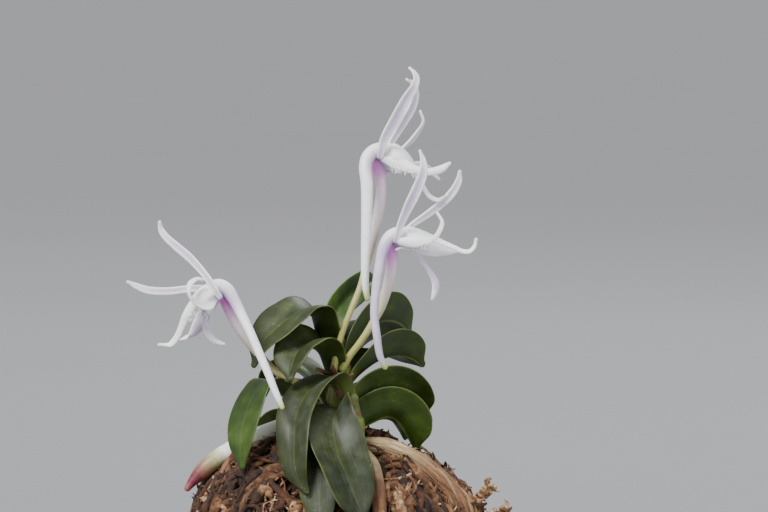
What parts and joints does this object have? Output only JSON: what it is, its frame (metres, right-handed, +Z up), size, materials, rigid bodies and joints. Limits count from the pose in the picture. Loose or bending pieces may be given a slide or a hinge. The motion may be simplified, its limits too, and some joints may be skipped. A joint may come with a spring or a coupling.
{
  "type": "potted wind orchid",
  "caption": "Small orchid in a round pot, with folded curving leaves, thick roots on a hump of dried moss and long-spurred white flowers on slender stalks.",
  "frame": {"origin": "centre of the pot's flat underside", "axes": "+Z up from the flat underside, +X to the right and +Y to the back of the side the plant is shown from"},
  "size_m": [0.0792, 0.074, 0.1527],
  "materials": {
    "pot": "satin glaze",
    "moss": "matte",
    "leaf": "satin",
    "shoot": "matte",
    "bract": "matte",
    "stalk": "satin",
    "living_root": "satin",
    "old_root": "matte",
    "column": "satin",
    "lip": "satin",
    "tepal": "satin"
  },
  "bodies": {
    "root": {"shoot_main": "shoot", "shoot_front": "shoot", "shoot_back": "shoot", "flowering_stem": "stalk", "bracts": "bract", "root_live_left": "living_root", "root_old_right": "old_root", "root_old_front_right": "old_root", "root_old_front_left": "old_root", "root_live_back_left": "living_root", "root_live_back_right": "living_root", "upper_bloom_stalk": "stalk", "upper_bloom_column": "column", "upper_bloom_lip_and_spur": "lip", "upper_bloom_sepal_near": "tepal", "upper_bloom_sepal_far": "tepal", "upper_bloom_sepal_middle": "tepal", "upper_bloom_petal_near": "tepal", "upper_bloom_petal_far": "tepal", "lower_bloom_stalk": "stalk", "lower_bloom_column": "column", "lower_bloom_lip_and_spur": "lip", "lower_bloom_sepal_near": "tepal", "lower_bloom_sepal_far": "tepal", "lower_bloom_sepal_middle": "tepal", "lower_bloom_petal_near": "tepal", "lower_bloom_petal_far": "tepal", "left_bloom_stalk": "stalk", "left_bloom_column": "column", "left_bloom_lip_and_spur": "lip", "left_bloom_sepal_near": "tepal", "left_bloom_sepal_far": "tepal", "left_bloom_sepal_middle": "tepal", "left_bloom_petal_near": "tepal", "left_bloom_petal_far": "tepal", "leaf_main_left_1": "leaf", "leaf_main_left_2": "leaf", "leaf_main_left_3": "leaf", "leaf_main_right_1": "leaf", "leaf_main_right_2": "leaf", "leaf_main_right_3": "leaf", "leaf_main_right_4": "leaf", "leaf_main_right_5": "leaf", "leaf_front_left": "leaf", "leaf_front_middle": "leaf", "leaf_front_low": "leaf", "leaf_back_left_1": "leaf", "leaf_back_left_2": "leaf", "leaf_back_right_1": "leaf", "leaf_back_right_2": "leaf", "leaf_back_middle": "leaf", "moss_hump": "moss", "pot": "pot"}
  },
  "joints": []
}
